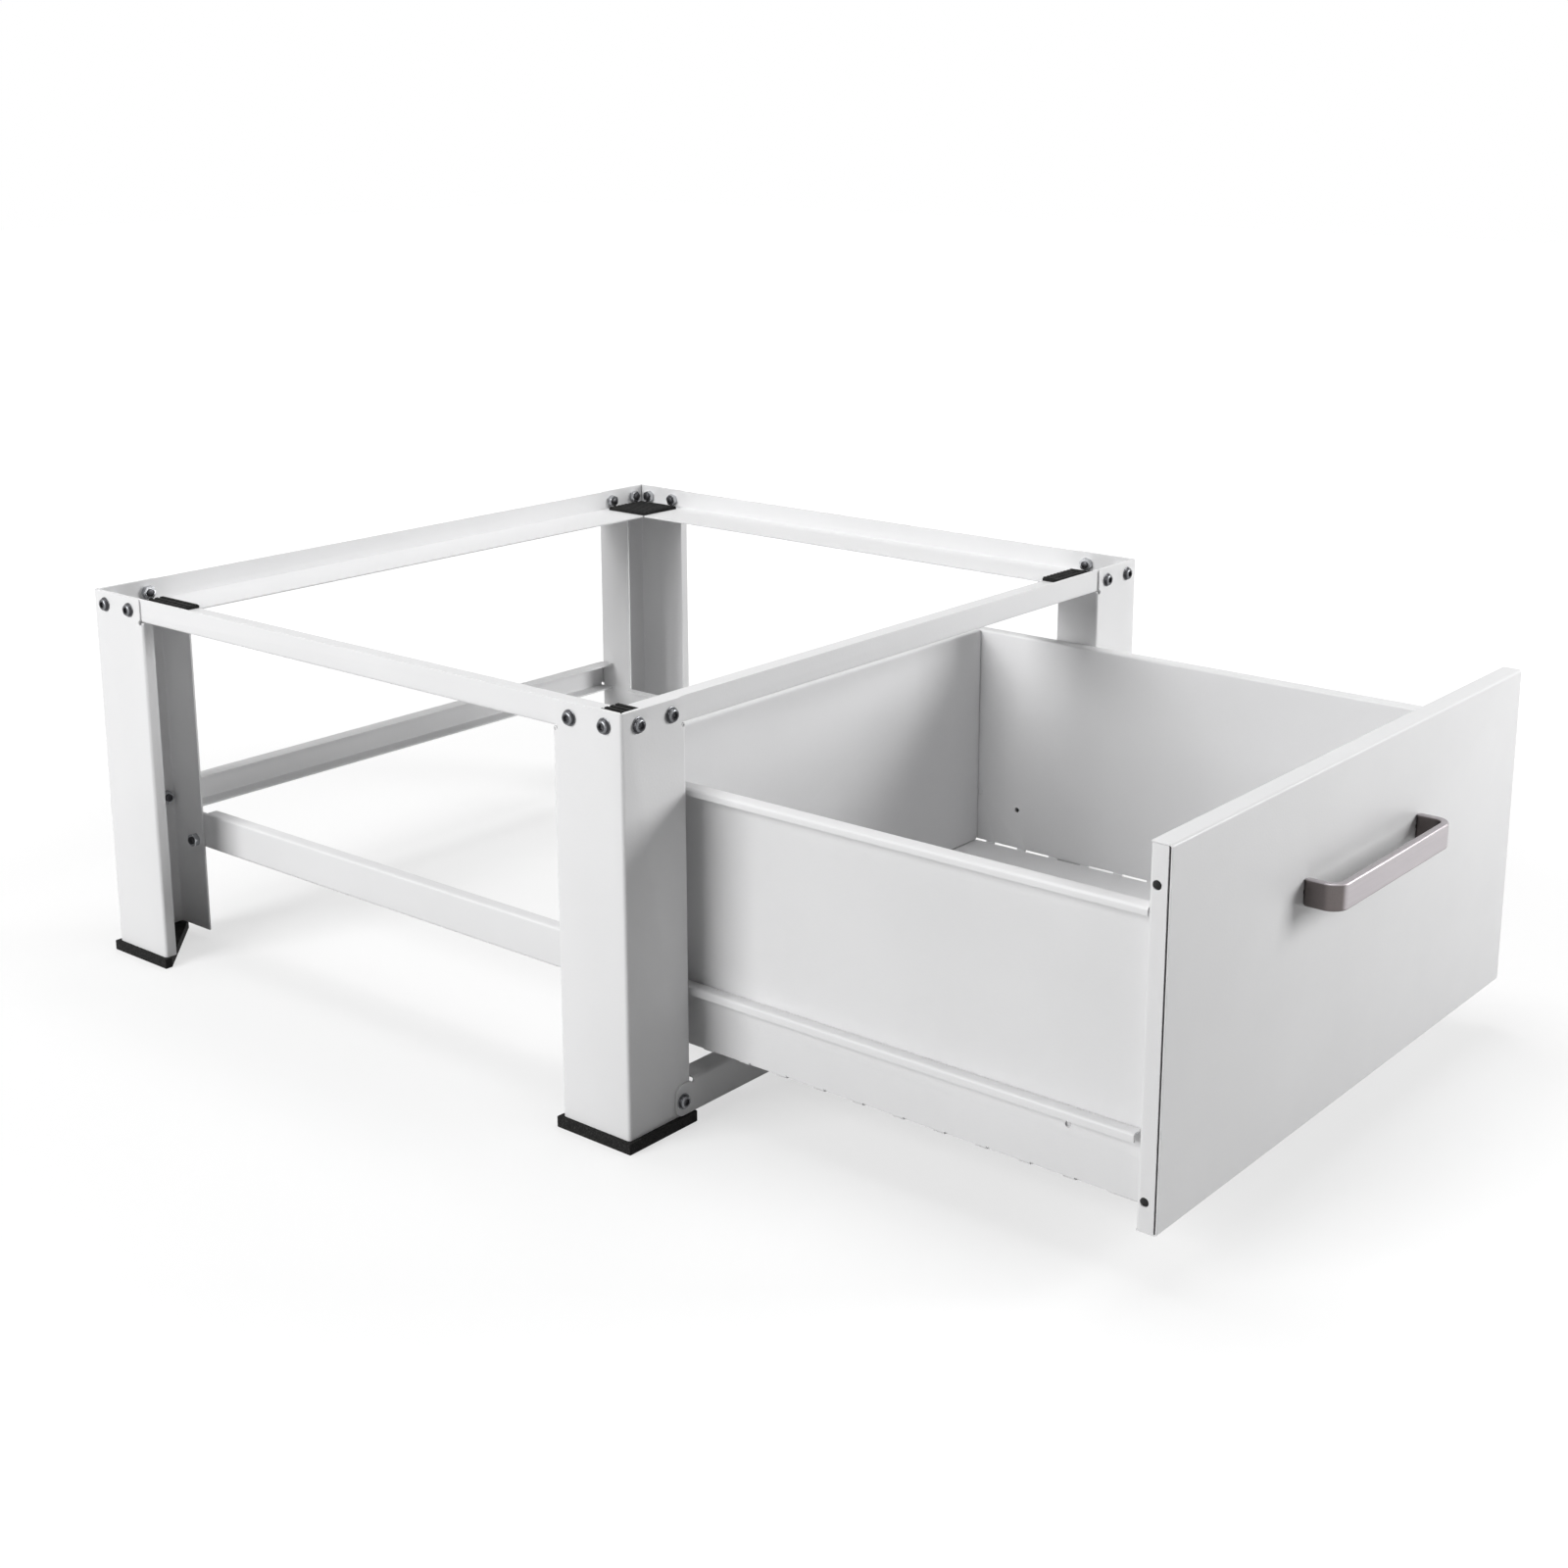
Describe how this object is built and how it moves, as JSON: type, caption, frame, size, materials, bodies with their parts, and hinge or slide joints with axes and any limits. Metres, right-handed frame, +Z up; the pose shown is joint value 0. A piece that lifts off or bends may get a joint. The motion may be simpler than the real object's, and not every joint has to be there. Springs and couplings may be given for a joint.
{
  "type": "washer pedestal drawer",
  "caption": "Sheet-metal pedestal for a front-loading laundry machine: folded corner legs, a ring of angle rails with anti-slip pads, and a pull-out drawer on rollers.",
  "frame": {"origin": "on the floor, under the middle of the whole object with its drawer open as in the picture", "axes": "+X to the right seen from the front, +Y towards the rear, +Z up; the drawer opens along -Y"},
  "size_m": [0.6268, 0.961, 0.3],
  "materials": {
    "frame_coat": "white powder coat, satin",
    "drawer_coat": "very light grey powder coat, satin",
    "black_rubber": "matt",
    "zinc_steel": "bright zinc",
    "handle_metal": "satin grey-brown",
    "roller_plastic": "white, smooth"
  },
  "bodies": {
    "frame": {"crossbar_bolt_front_left": "zinc_steel", "crossbar_bolt_front_right": "zinc_steel", "crossbar_bolt_rear_left": "zinc_steel", "crossbar_bolt_rear_right": "zinc_steel", "crossbar_front": "frame_coat", "crossbar_rear": "frame_coat", "foot_front_left": "black_rubber", "foot_front_right": "black_rubber", "foot_rear_left": "black_rubber", "foot_rear_right": "black_rubber", "front_axle_left": "zinc_steel", "front_axle_right": "zinc_steel", "leg_front_left": "frame_coat", "leg_front_right": "frame_coat", "leg_rear_left": "frame_coat", "leg_rear_right": "frame_coat", "pad_front_left": "black_rubber", "pad_front_right": "black_rubber", "pad_rear_left": "black_rubber", "pad_rear_right": "black_rubber", "slide_bolt_front_left": "zinc_steel", "slide_bolt_front_right": "zinc_steel", "slide_bolt_rear_left": "zinc_steel", "slide_bolt_rear_right": "zinc_steel", "slide_rail_left": "frame_coat", "slide_rail_right": "frame_coat", "top_bolt_front_left_face_a": "zinc_steel", "top_bolt_front_left_face_b": "zinc_steel", "top_bolt_front_left_side_a": "zinc_steel", "top_bolt_front_left_side_b": "zinc_steel", "top_bolt_front_right_face_a": "zinc_steel", "top_bolt_front_right_face_b": "zinc_steel", "top_bolt_front_right_side_a": "zinc_steel", "top_bolt_front_right_side_b": "zinc_steel", "top_bolt_rear_left_face_a": "zinc_steel", "top_bolt_rear_left_face_b": "zinc_steel", "top_bolt_rear_left_side_a": "zinc_steel", "top_bolt_rear_left_side_b": "zinc_steel", "top_bolt_rear_right_face_a": "zinc_steel", "top_bolt_rear_right_face_b": "zinc_steel", "top_bolt_rear_right_side_a": "zinc_steel", "top_bolt_rear_right_side_b": "zinc_steel", "top_rail_front": "frame_coat", "top_rail_left": "frame_coat", "top_rail_rear": "frame_coat", "top_rail_right": "frame_coat"},
    "drawer": {"drawer_back_wall": "drawer_coat", "drawer_front_backing": "drawer_coat", "drawer_front_skin": "drawer_coat", "drawer_handle": "handle_metal", "drawer_runner_left": "drawer_coat", "drawer_runner_right": "drawer_coat", "drawer_tray": "drawer_coat", "handle_screw_left": "zinc_steel", "handle_screw_right": "zinc_steel"},
    "front_roller_left": {"front_roller_left": "roller_plastic"},
    "front_roller_right": {"front_roller_right": "roller_plastic"},
    "rear_roller_left": {"rear_roller_left": "roller_plastic"},
    "rear_roller_right": {"rear_roller_right": "roller_plastic"}
  },
  "joints": [
    {"name": "drawer_slide", "type": "slide", "parent": "frame", "child": "drawer", "axis": [0, -1, 0], "range_m": [-0.361, 0.035]},
    {"name": "front_roller_left_spin", "type": "hinge", "parent": "frame", "child": "front_roller_left", "pos_m": [-0.2429, -0.04995, 0.088], "axis": [1, 0, 0], "continuous": true},
    {"name": "rear_roller_left_spin", "type": "hinge", "parent": "drawer", "child": "rear_roller_left", "pos_m": [-0.2436, 0.00865, 0.0928], "axis": [1, 0, 0], "continuous": true},
    {"name": "front_roller_right_spin", "type": "hinge", "parent": "frame", "child": "front_roller_right", "pos_m": [0.2429, -0.04995, 0.088], "axis": [1, 0, 0], "continuous": true},
    {"name": "rear_roller_right_spin", "type": "hinge", "parent": "drawer", "child": "rear_roller_right", "pos_m": [0.2436, 0.00865, 0.0928], "axis": [1, 0, 0], "continuous": true}
  ],
  "couplings": [
    {"joint": "front_roller_left_spin", "follows": "drawer_slide", "rad_per_m": 142.86},
    {"joint": "rear_roller_left_spin", "follows": "drawer_slide", "rad_per_m": 83.333},
    {"joint": "front_roller_right_spin", "follows": "drawer_slide", "rad_per_m": 142.86},
    {"joint": "rear_roller_right_spin", "follows": "drawer_slide", "rad_per_m": 83.333}
  ]
}
